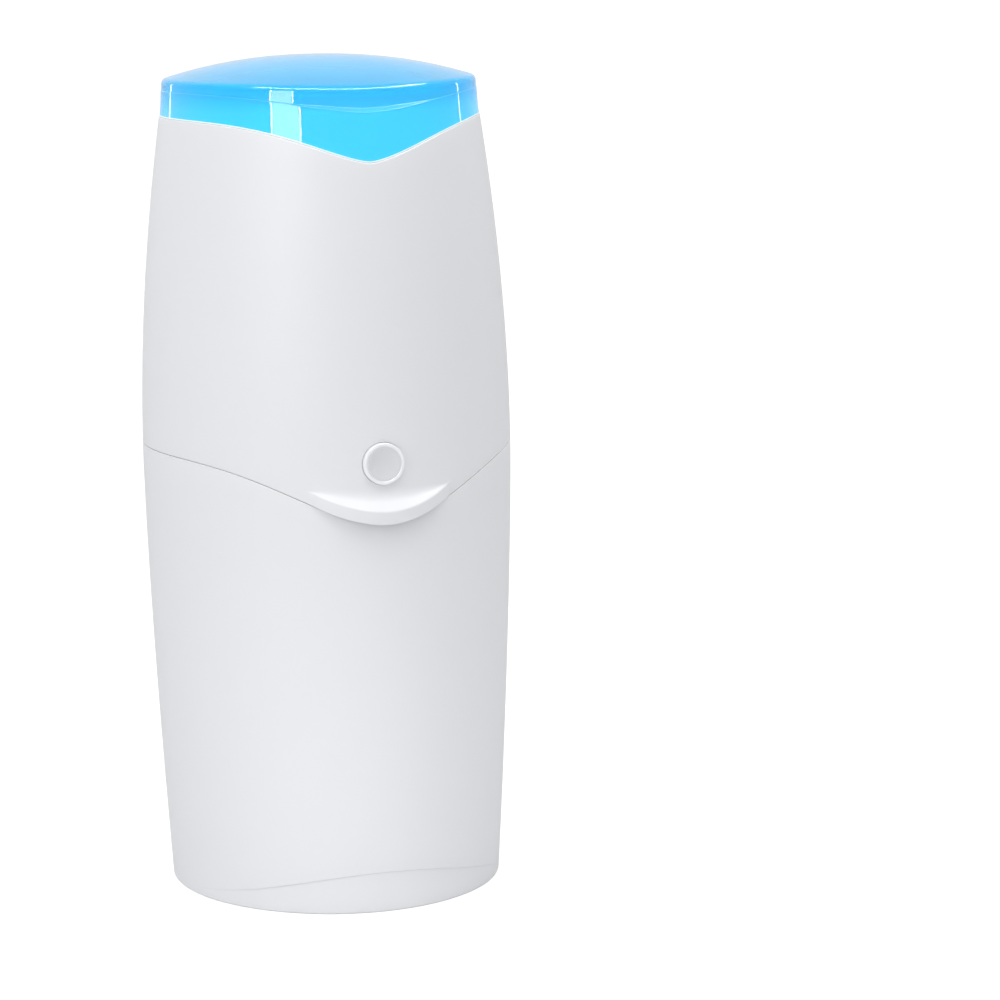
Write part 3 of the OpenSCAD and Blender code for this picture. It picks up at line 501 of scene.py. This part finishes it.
def paint_light_by_height(mat, low, high, tint, painted_glow_low, painted_glow_high):
    """A clear piece with painted light: a darker tint and a painted glow, changing from one height to another."""
    tree = mat.node_tree
    shader = tree.nodes["Principled BSDF"]
    split = tree.nodes.new("ShaderNodeSeparateXYZ")
    rise = tree.nodes.new("ShaderNodeMapRange")
    rise.inputs["From Min"].default_value = low * MM
    rise.inputs["From Max"].default_value = high * MM
    place = next(n for n in tree.nodes if n.type == "TEX_COORD")
    tree.links.new(place.outputs["Object"], split.inputs["Vector"])
    tree.links.new(split.outputs["Z"], rise.inputs["Value"])
    for blend, socket in (("MULTIPLY", "Base Color"), ("MIX", "Emission Color")):
        change = tree.nodes.new("ShaderNodeMix")
        change.data_type, change.blend_type = "RGBA", blend
        tree.links.new(rise.outputs["Result"], change.inputs[0])
        if blend == "MULTIPLY":
            tree.links.new(shader.inputs[socket].links[0].from_socket, change.inputs[6])
            change.inputs[7].default_value = (*tint, 1)
        else:
            change.inputs[6].default_value = (*painted_glow_low, 1)
            change.inputs[7].default_value = (*painted_glow_high, 1)
        tree.links.new(change.outputs[2], shader.inputs[socket])


# Painted light: the skirt gets a painted glow for the white rim behind it; the dome is tinted darker, with a
# fainter glow, for its dim inside
paint_light_by_height(CLEAR, low=CREASE_Z - CREASE_DIP, high=LID_EDGE_Z - 3, tint=(1, 0.86, 0.92),
       painted_glow_low=(0.035, 0.12, 0.22), painted_glow_high=(0.0, 0.03, 0.06))

# Painted highlight: the lid's lower edge glows with a pale emission, standing in for light caught there
PAINTED_EDGE_GLOW = material("lid_edge_painted_glow", (0.86, 0.96, 1.0), 0.25, grain=300, bump=0.004, shade=0.02,
                Emission_Color=(0.75, 0.9, 1.0, 1), Emission_Strength=0.18)

by_slot = {
    "white_shell": WHITE,
    "button_white": BUTTON,
    "grey_plastic": GREY,
    "mechanism_blue": BLUE,
    "cassette_blue": CASSETTE,
    "sleeve_blue": SLEEVE,
    "film": FILM,
    "soft_lip": RUBBER,
    "steel": STEEL,
    "clear_blue": CLEAR,
}
for part in frame["record"]["subparts"]:
    node = frame["nodes"][part["node"]]
    node.data.materials.clear()
    node.data.materials.append(by_slot[part["material_slot"]])
    weld = node.modifiers.new("weld", "WELD")
    weld.merge_threshold = 1e-6
    edge = node.modifiers.new("edge", "BEVEL")
    edge.width, edge.segments = 0.0003, 2
    edge.limit_method, edge.angle_limit = "ANGLE", math.radians(50)


# ---- Shells ----


def knuckle_outline(axis, r, x, side, leaf):
    """The outline of a knuckle and the leaf that roots it in the wall, above or below its axis."""
    y, z = axis.y, axis.z
    root, end = z + side * 3, z + side * leaf
    arc = [(y + r * math.cos(t), z - side * r * math.sin(t))
           for t in (math.radians(d) for d in range(0, 181, 15))]
    inside = [(form_y(x, root) - 0.3, root), (form_y(x, end) - 0.3, end)]
    return arc + inside + [(form_y(0, end) + 0.8, end)]


def knuckles(axis, r, spans, side, leaf):
    return [prism(knuckle_outline(axis, r, max(abs(x0), abs(x1)), side, leaf), x0, x1)
            for x0, x1 in spans]


def outer_spans(width):
    inner = width / 4 + TURN_GAP
    return [(-width / 2, -inner), (inner, width / 2)]


floor_hubs = (Vector((0, 0, 0)), Vector((0, 0, FLOOR_T)))
tub = make("tub_shell", *loft(form_rows(tub_profile), False, floor_hubs), WHITE)
KEEPER_LOW, KEEPER_HIGH = corners("keeper_screws")
KEEPER_X = KEEPER_HIGH.x - SCREW_HEAD_R
KEEPER_Z = (KEEPER_LOW.z + KEEPER_HIGH.z) / 2
KEEPER_Y = corners("latch_keeper")[0].y
combine(tub, "UNION", [
    *knuckles(HEAD_AXIS, KNUCKLE_R, outer_spans(HINGE_W), -1, LEAF_H),
    *[rod(1, (x, KEEPER_Z), BOSS_R, -form_y(KEEPER_X, KEEPER_Z, -1), KEEPER_Y, edge=0.3)
      for x in (-KEEPER_X, KEEPER_X)],
], 35)
combine(tub, "DIFFERENCE", [
    rod(0, HEAD_AXIS.yz, PIN_R + PIN_PLAY, -HINGE_W, HINGE_W),
    *[rod(1, (x, KEEPER_Z), SCREW_R, KEEPER_Y - SCREW_IN, KEEPER_Y + 1)
      for x in (-KEEPER_X, KEEPER_X)],
], 35)
dress(tub, "base", "white_shell", "base_shell")

# The screw's head and the tab under it stand on the boss
TAB_Y = corners("housing_screws")[1].y - SCREW_HEAD_H - TAB_T
TAB_X = corners("housing_screws")[1].x - SCREW_HEAD_R
TRAY_SCREW_ANGLES = (28, 152, -152, -28)


def button_hole():
    """A plug that cuts the button's hole, its mouth eased along the curved wall."""
    rows = []
    for k in range(96):
        t = 2 * math.pi * k / 96
        row = []
        for r, down in ((HOLE_R + 1.0, -4), (HOLE_R + 0.7, -0.02), (HOLE_R + 0.42, 0.06),
                        (HOLE_R + 0.2, 0.2), (HOLE_R + 0.05, 0.42), (HOLE_R, 0.7), (HOLE_R, 8)):
            x, z = r * math.cos(t), BUTTON_Z + r * math.sin(t)
            row.append(Vector((x, -form_y(x, z) + down, z)))
        rows.append(row)
    front = -form_y(0, BUTTON_Z)
    return loft(rows, False, [Vector((0, front + down, BUTTON_Z)) for down in (-4, 8)])


head = make("head_shell_casing", *loft(form_rows(head_profile), True), WHITE)
bosses = [form_point(a, LEDGE_Z, -LEDGE_IN - BOSS_R + 0.8) for a in TRAY_SCREW_ANGLES]
combine(head, "UNION", [
    *knuckles(HEAD_AXIS, KNUCKLE_R, [(-HINGE_W / 4, HINGE_W / 4)], 1, LEAF_H),
    *knuckles(LID_AXIS, LID_KNUCKLE_R, outer_spans(LID_HINGE_W), -1, LID_LEAF_H),
    *[rod(2, p.xy, BOSS_R, LEDGE_Z - 16, LEDGE_Z - 0.01, edge=0.3) for p in bosses],
    *[rod(1, (x, BUTTON_Z), BOSS_R, -form_y(TAB_X, BUTTON_Z, -1), TAB_Y, edge=0.3)
      for x in (-TAB_X, TAB_X)],
], 35)
combine(head, "DIFFERENCE", [
    rod(0, HEAD_AXIS.yz, PIN_R + PIN_PLAY, -HINGE_W, HINGE_W),
    rod(0, LID_AXIS.yz, LID_PIN_R + PIN_PLAY, -LID_HINGE_W, LID_HINGE_W),
    button_hole(),
    *[rod(2, p.xy, SCREW_R, LEDGE_Z - 12, LEDGE_Z + 1) for p in bosses],
    *[rod(1, (x, BUTTON_Z), SCREW_R, TAB_Y - 4.6, TAB_Y + 1) for x in (-TAB_X, TAB_X)],
], 35)
dress(head, "head", "white_shell", "head_shell")

# How far from the dome's crest to its edge each ring of its mesh lies
DOME_SHARES = [0.06, 0.15, 0.25, 0.36, 0.48, 0.6, 0.72, 0.83, 0.92]
lid_rows = [
    [dome(a, f, LID_WALL) for f in DOME_SHARES]
    + [skirt_point(a, z, out) for out, z in lid_profile(a)]
    + [dome(a, f) for f in reversed(DOME_SHARES)]
    for a in STEPS
]
crests = (Vector((0, 0, LID_TOP - LID_WALL)), Vector((0, 0, LID_TOP)))
lid = make("lid_clear", *loft(lid_rows, False, crests), CLEAR)
combine(lid, "UNION", [
    *knuckles(LID_AXIS, LID_KNUCKLE_R, [(-LID_HINGE_W / 4, LID_HINGE_W / 4)], 1, LID_LEAF_H),
], 35)
combine(lid, "DIFFERENCE", [
    rod(0, LID_AXIS.yz, LID_PIN_R + PIN_PLAY, -LID_HINGE_W, LID_HINGE_W),
], 35)


def in_painted_edge_line(p):
    around = math.degrees(math.atan2(p.x, -p.y / PLAN_RATIO))
    return p.z < lid_low(around) + LID_GAP + PAINTED_LINE_H


def second_material_faces(obj, second_material, chosen):
    """Gives a second material, a finish or a painted glow, to the faces whose middle, in millimetres, is one of
    the chosen.
    """
    obj.data.materials.append(second_material)
    for face in obj.data.polygons:
        if chosen(face.center / MM):
            face.material_index = 1


# Painted highlight: the faces of the lid's lowest band take the glowing edge material
second_material_faces(lid, PAINTED_EDGE_GLOW, in_painted_edge_line)
dress(lid, "lid", "clear_blue", "lid_shell")


# ---- Button: a rounded ring around a shallow dish, hollow behind, on its stem ----

RING_R = (BUTTON_R - DISH_R) / 2
CAP_UNDER = DISH_DEPTH + 2.4
STEM_END = BUTTON_HIGH.y - BUTTON_FRONT
dish = (DISH_R**2 + DISH_DEPTH**2) / (2 * DISH_DEPTH)
button_profile = [
    (r, DISH_DEPTH - dish + math.sqrt(dish**2 - r**2))
    for r in (0.8, 2.4, 4.2, 6, 7.8, 9.4, 10.6, 11.2)
] + [
    (BUTTON_R - RING_R - RING_R * math.cos(math.radians(d)), 1.0 - math.sin(math.radians(d)))
    for d in range(30, 181, 15)
] + [
    (BUTTON_R, 4),
    (BUTTON_R, BUTTON_LENGTH - BUTTON_EDGE),
    (BUTTON_R - BUTTON_EDGE, BUTTON_LENGTH),
    (BUTTON_R - BUTTON_WALL + 0.3, BUTTON_LENGTH),
    (BUTTON_R - BUTTON_WALL, BUTTON_LENGTH - BUTTON_EDGE),
    (BUTTON_R - BUTTON_WALL, CAP_UNDER + 0.6),
    (BUTTON_R - BUTTON_WALL - 0.6, CAP_UNDER),
    (STEM_R + 0.6, CAP_UNDER),
    (STEM_R, CAP_UNDER + 0.6),
    (STEM_R, STEM_END - BUTTON_EDGE),
    (STEM_R - BUTTON_EDGE, STEM_END),
]
turned, button_faces = loft(lathe(button_profile, 128), False,
                            (Vector((0, 0, DISH_DEPTH)), Vector((0, 0, STEM_END))))
button_points = [(p.x, BUTTON_FRONT + p.z, BUTTON_Z + p.y) for p in turned]
button = make("button_cap", button_points, button_faces, BUTTON, 40)


def in_dish(p):
    shallow = p.y < BUTTON_FRONT + DISH_DEPTH + 0.1
    return shallow and math.hypot(p.x, p.z - BUTTON_Z) < DISH_R - 0.2


second_material_faces(button, DISH, in_dish)
dress(button, "button", "button_white", "release_button")


# ---- Springs, film and soft lips, finer than their solids ----


def helix(r, wire, turns, pitch, per_turn=28):
    steps = int(turns * per_turn)
    return [
        Vector((r * math.cos(2 * math.pi * i / per_turn), r * math.sin(2 * math.pi * i / per_turn),
                wire + i * pitch / per_turn))
        for i in range(steps + 1)
    ]


low, high = corners("button_spring")
wire = 0.5
BUTTON_TURNS = 5
spring = helix(STEM_R + 2.5, wire, BUTTON_TURNS, (high.y - low.y - 2 * wire) / BUTTON_TURNS)
coil = tube([Vector((p.x, high.y - p.z, BUTTON_Z + p.y)) for p in spring], wire)
dress(make("button_coil", *coil, STEEL), "head", "steel", "button_spring")

low, high = corners("flap_springs")
AXIS_Z = joints["flap_right_turn"]["pos_m"][2] / MM
COIL_TURNS, SPRING_LEG, wire = 9, 9.0, 0.55
spring_r = 2 + 0.35 + wire
coils = []
for side in (-1, 1):
    pitch = (high.y - low.y - 2 * wire) / COIL_TURNS
    path = helix(spring_r, wire, COIL_TURNS, pitch)
    leg = [Vector((spring_r, -SPRING_LEG * (1 - k / 6), wire)) for k in range(6)]
    route = [Vector((side * (FLAP_X + p.x), low.y + p.z, AXIS_Z - p.y)) for p in leg + path]
    coils.append(tube(route, wire))
dress(make("flap_coils", *merged(coils), STEEL), "head", "steel", "flap_springs")

low, high = corners("film_pack")
PLEATS, FILM_IN_R, FILM_STEPS = 16, 63.2, 240
pitch = (high.z - low.z) / (PLEATS - 0.5)
film_rows = []
for k in range(FILM_STEPS):
    t = 2 * math.pi * k / FILM_STEPS
    # The folds lie unevenly, so each wanders a little around the pack
    wander = [0.35 * math.sin(5 * t + 1.7 * i) + 0.2 * math.sin(13 * t + 2.3 * i)
              for i in range(PLEATS)]
    row = []
    for i in range(PLEATS):
        z = low.z + pitch * i
        row += [(high.x - 0.4 - abs(wander[i]), z), (high.x - 1.8, z + 0.45 * pitch)]
    for i in range(PLEATS - 1, -1, -1):
        z = low.z + pitch * i
        row += [(FILM_IN_R + 1.6, z + 0.45 * pitch), (FILM_IN_R + 0.3 + abs(wander[i]), z)]
    film_rows.append([Vector((r * math.cos(t), r * math.sin(t), z)) for r, z in row])
dress(make("film_pleats", *loft(film_rows, True), FILM, 60), "head", "film", "film_pack")

LIP_R = FLAP_T / 2 + 1.2
for side, name in ((-1, "left"), (1, "right")):
    low, high = corners(f"flap_{name}_lip")
    mid = (low.z + high.z) / 2
    near = FLAP_GAP / 2
    bead = [(near + LIP_R - LIP_R * math.cos(t), mid + LIP_R * math.sin(t))
            for t in (math.radians(d) for d in range(-90, 91, 15))]
    jaw = [(near + LIP_W - 0.3, mid + LIP_R), (near + LIP_W, mid + LIP_R - 0.3),
           (near + LIP_W, mid + FLAP_T / 2), (near + LIP_W / 2, mid + FLAP_T / 2)]
    outline = bead + jaw + [(x, 2 * mid - z) for x, z in reversed(jaw)]
    rows = [[Vector((side * x, y, z)) for y in (low.y, low.y + 0.4, high.y - 0.4, high.y)]
            for x, z in outline]
    for row, (x, z) in zip(rows, outline):
        row[0] = row[0].lerp(Vector((side * (near + LIP_R), low.y, mid)), 0.08)
        row[-1] = row[-1].lerp(Vector((side * (near + LIP_R), high.y, mid)), 0.08)
    ends = [Vector((side * (near + LIP_R * 0.8), y, mid)) for y in (low.y, high.y)]
    dress(make(f"soft_lip_{name}", *loft(rows, False, ends), RUBBER),
          f"flap_{name}_body", "soft_lip", f"flap_{name}_lip")


# ---- Floor, light and camera ----


def look(obj, eye, target):
    obj.location = eye
    obj.rotation_euler = (Vector(target) - Vector(eye)).to_track_quat("-Z", "Y").to_euler()


LID_HEIGHT, BODY_HEIGHT = (0, 0, 0.57), (0, 0, 0.35)


def softbox(name, azimuth, elevation, distance, size, power, target=LID_HEIGHT, mirrored=True):
    """A light around the part, at an azimuth from the front towards +X: either a pane that only
    glossy surfaces mirror, or a soft one that only lights."""
    lamp = bpy.data.lights.new(name, "AREA")
    lamp.shape, lamp.size, lamp.size_y = "RECTANGLE", *size
    lamp.energy = power
    obj = bpy.data.objects.new(name, lamp)
    bpy.context.scene.collection.objects.link(obj)
    a, e = math.radians(azimuth), math.radians(elevation)
    way = Vector((math.sin(a) * math.cos(e), -math.cos(a) * math.cos(e), math.sin(e)))
    look(obj, Vector(target) + way * distance, target)
    obj.visible_camera = False
    obj.visible_glossy, obj.visible_diffuse = mirrored, not mirrored


def seen(tree, hidden, shown):
    """A number that is one thing where the camera looks at the stage, and another in the light
    that the stage sends on to the part."""
    ray = tree.nodes.new("ShaderNodeLightPath")
    choice = tree.nodes.new("ShaderNodeMix")
    choice.inputs["B"].default_value = shown
    tree.links.new(ray.outputs["Is Camera Ray"], choice.inputs["Factor"])
    if isinstance(hidden, bpy.types.NodeSocket):
        tree.links.new(hidden, choice.inputs["A"])
    else:
        choice.inputs["A"].default_value = hidden
    return choice.outputs["Result"]


def studio(horizon, zenith, backdrop):
    """A white studio whose light grows softly from the horizon to straight above, and towards its
    backdrop behind the part."""
    world = bpy.data.worlds.new("studio")
    world.use_nodes = True
    tree = world.node_tree
    way = tree.nodes.new("ShaderNodeTexCoord")
    split = tree.nodes.new("ShaderNodeSeparateXYZ")
    light = tree.nodes.new("ShaderNodeMath")
    tree.links.new(way.outputs["Generated"], split.inputs["Vector"])
    for socket, axis, low, high in ((0, "Z", horizon, zenith), (1, "Y", 0.0, backdrop)):
        rise = tree.nodes.new("ShaderNodeMapRange")
        rise.inputs["To Min"].default_value = low
        rise.inputs["To Max"].default_value = high
        tree.links.new(split.outputs[axis], rise.inputs["Value"])
        tree.links.new(rise.outputs["Result"], light.inputs[socket])
    background = tree.nodes["Background"]
    background.inputs["Color"].default_value = (1, 1, 1, 1)
    tree.links.new(seen(tree, light.outputs["Value"], 1.0), background.inputs["Strength"])
    bpy.context.scene.world = world


studio(horizon=0.55, zenith=1.0, backdrop=0.25)

# The lid mirrors these as the photograph shows them: a line along its upper edge, a broad pane
# with bright edges at its left and a thin line near either side
for azimuth in (-65, -15, 35, 80):
    softbox("arch_above", azimuth, 56, 2.0, (1.05, 0.34), 20)
softbox("pane_left", -46, 13, 2.2, (0.72, 0.85), 14)
for azimuth in (-35.5, -56.5):
    softbox("pane_edge", azimuth, 13, 2.2, (0.035, 0.85), 2.8)
softbox("line_right", 106, 7, 2.0, (0.04, 0.5), 0.9)
softbox("line_left", -153, 4, 2.0, (0.035, 0.5), 0.5)

# These light the body: from above and the left, with fills for the sides, the shoulder and the foot
softbox("key_above", -22, 62, 2.2, (1.4, 1.0), 11.7, BODY_HEIGHT, mirrored=False)
softbox("soft_left", -60, 18, 2.2, (0.9, 0.9), 6.6, BODY_HEIGHT, mirrored=False)
softbox("fill_right", 98, 25, 2.4, (0.9, 0.9), 3.0, BODY_HEIGHT, mirrored=False)
softbox("fill_top", 75, 40, 1.1, (0.4, 0.4), 0.85, LID_HEIGHT, mirrored=False)
softbox("fill_left", -118, 6, 2.4, (0.9, 1.2), 1.4, BODY_HEIGHT, mirrored=False)
softbox("fill_foot", -12, 2, 0.45, (0.7, 0.06), 0.27, (0, 0, 0.03), mirrored=False)

# The floor reaches past the horizon of the view, where it reads as white
FLOOR_R, FLOOR_Z = 60.0 / MM, -0.05
floor_rows = lathe([(FLOOR_R * f, FLOOR_Z) for f in (0.0001, 0.001, 0.005, 0.02, 0.1, 1)], 64)
floor_skin = material("floor", (0.66, 0.66, 0.66), 0.85, grain=300, bump=0.02, shade=0.005,
                      Emission_Color=(1, 1, 1, 1))
tree = floor_skin.node_tree
glow = tree.nodes["Principled BSDF"].inputs["Emission Strength"]
tree.links.new(seen(tree, 0.0, 0.5), glow)
floor = make("floor", *loft(floor_rows, False, (Vector((0, 0, FLOOR_Z)), None)), floor_skin)

# The camera stands where the photograph's perspective puts it
CAM_DISTANCE, CAM_HEIGHT = 2.48189, 0.68131
CAM_AROUND, CAM_YAW, CAM_PITCH, CAM_ROLL = 0.26802, 0.05024, 0.16393, -0.01459
SENSOR, LENS = 36.0, 124.85
heading = CAM_AROUND + CAM_YAW
ahead = Vector((math.sin(heading) * math.cos(CAM_PITCH), math.cos(heading) * math.cos(CAM_PITCH),
                -math.sin(CAM_PITCH)))
right = Vector((math.cos(heading), -math.sin(heading), 0))
up = right.cross(ahead)
turned_right = right * math.cos(CAM_ROLL) + up * math.sin(CAM_ROLL)
turned_up = up * math.cos(CAM_ROLL) - right * math.sin(CAM_ROLL)
lens = bpy.data.cameras.new("camera")
lens.sensor_width, lens.lens = SENSOR, LENS
lens.clip_start, lens.clip_end = 0.05, 50
camera = bpy.data.objects.new("camera", lens)
bpy.context.scene.collection.objects.link(camera)
camera.matrix_world = Matrix.Translation(
    Vector((-CAM_DISTANCE * math.sin(CAM_AROUND), -CAM_DISTANCE * math.cos(CAM_AROUND), CAM_HEIGHT))
) @ Matrix((turned_right, turned_up, -ahead)).transposed().to_4x4()
bpy.context.scene.camera = camera
bpy.context.scene.view_settings.view_transform = "Standard"
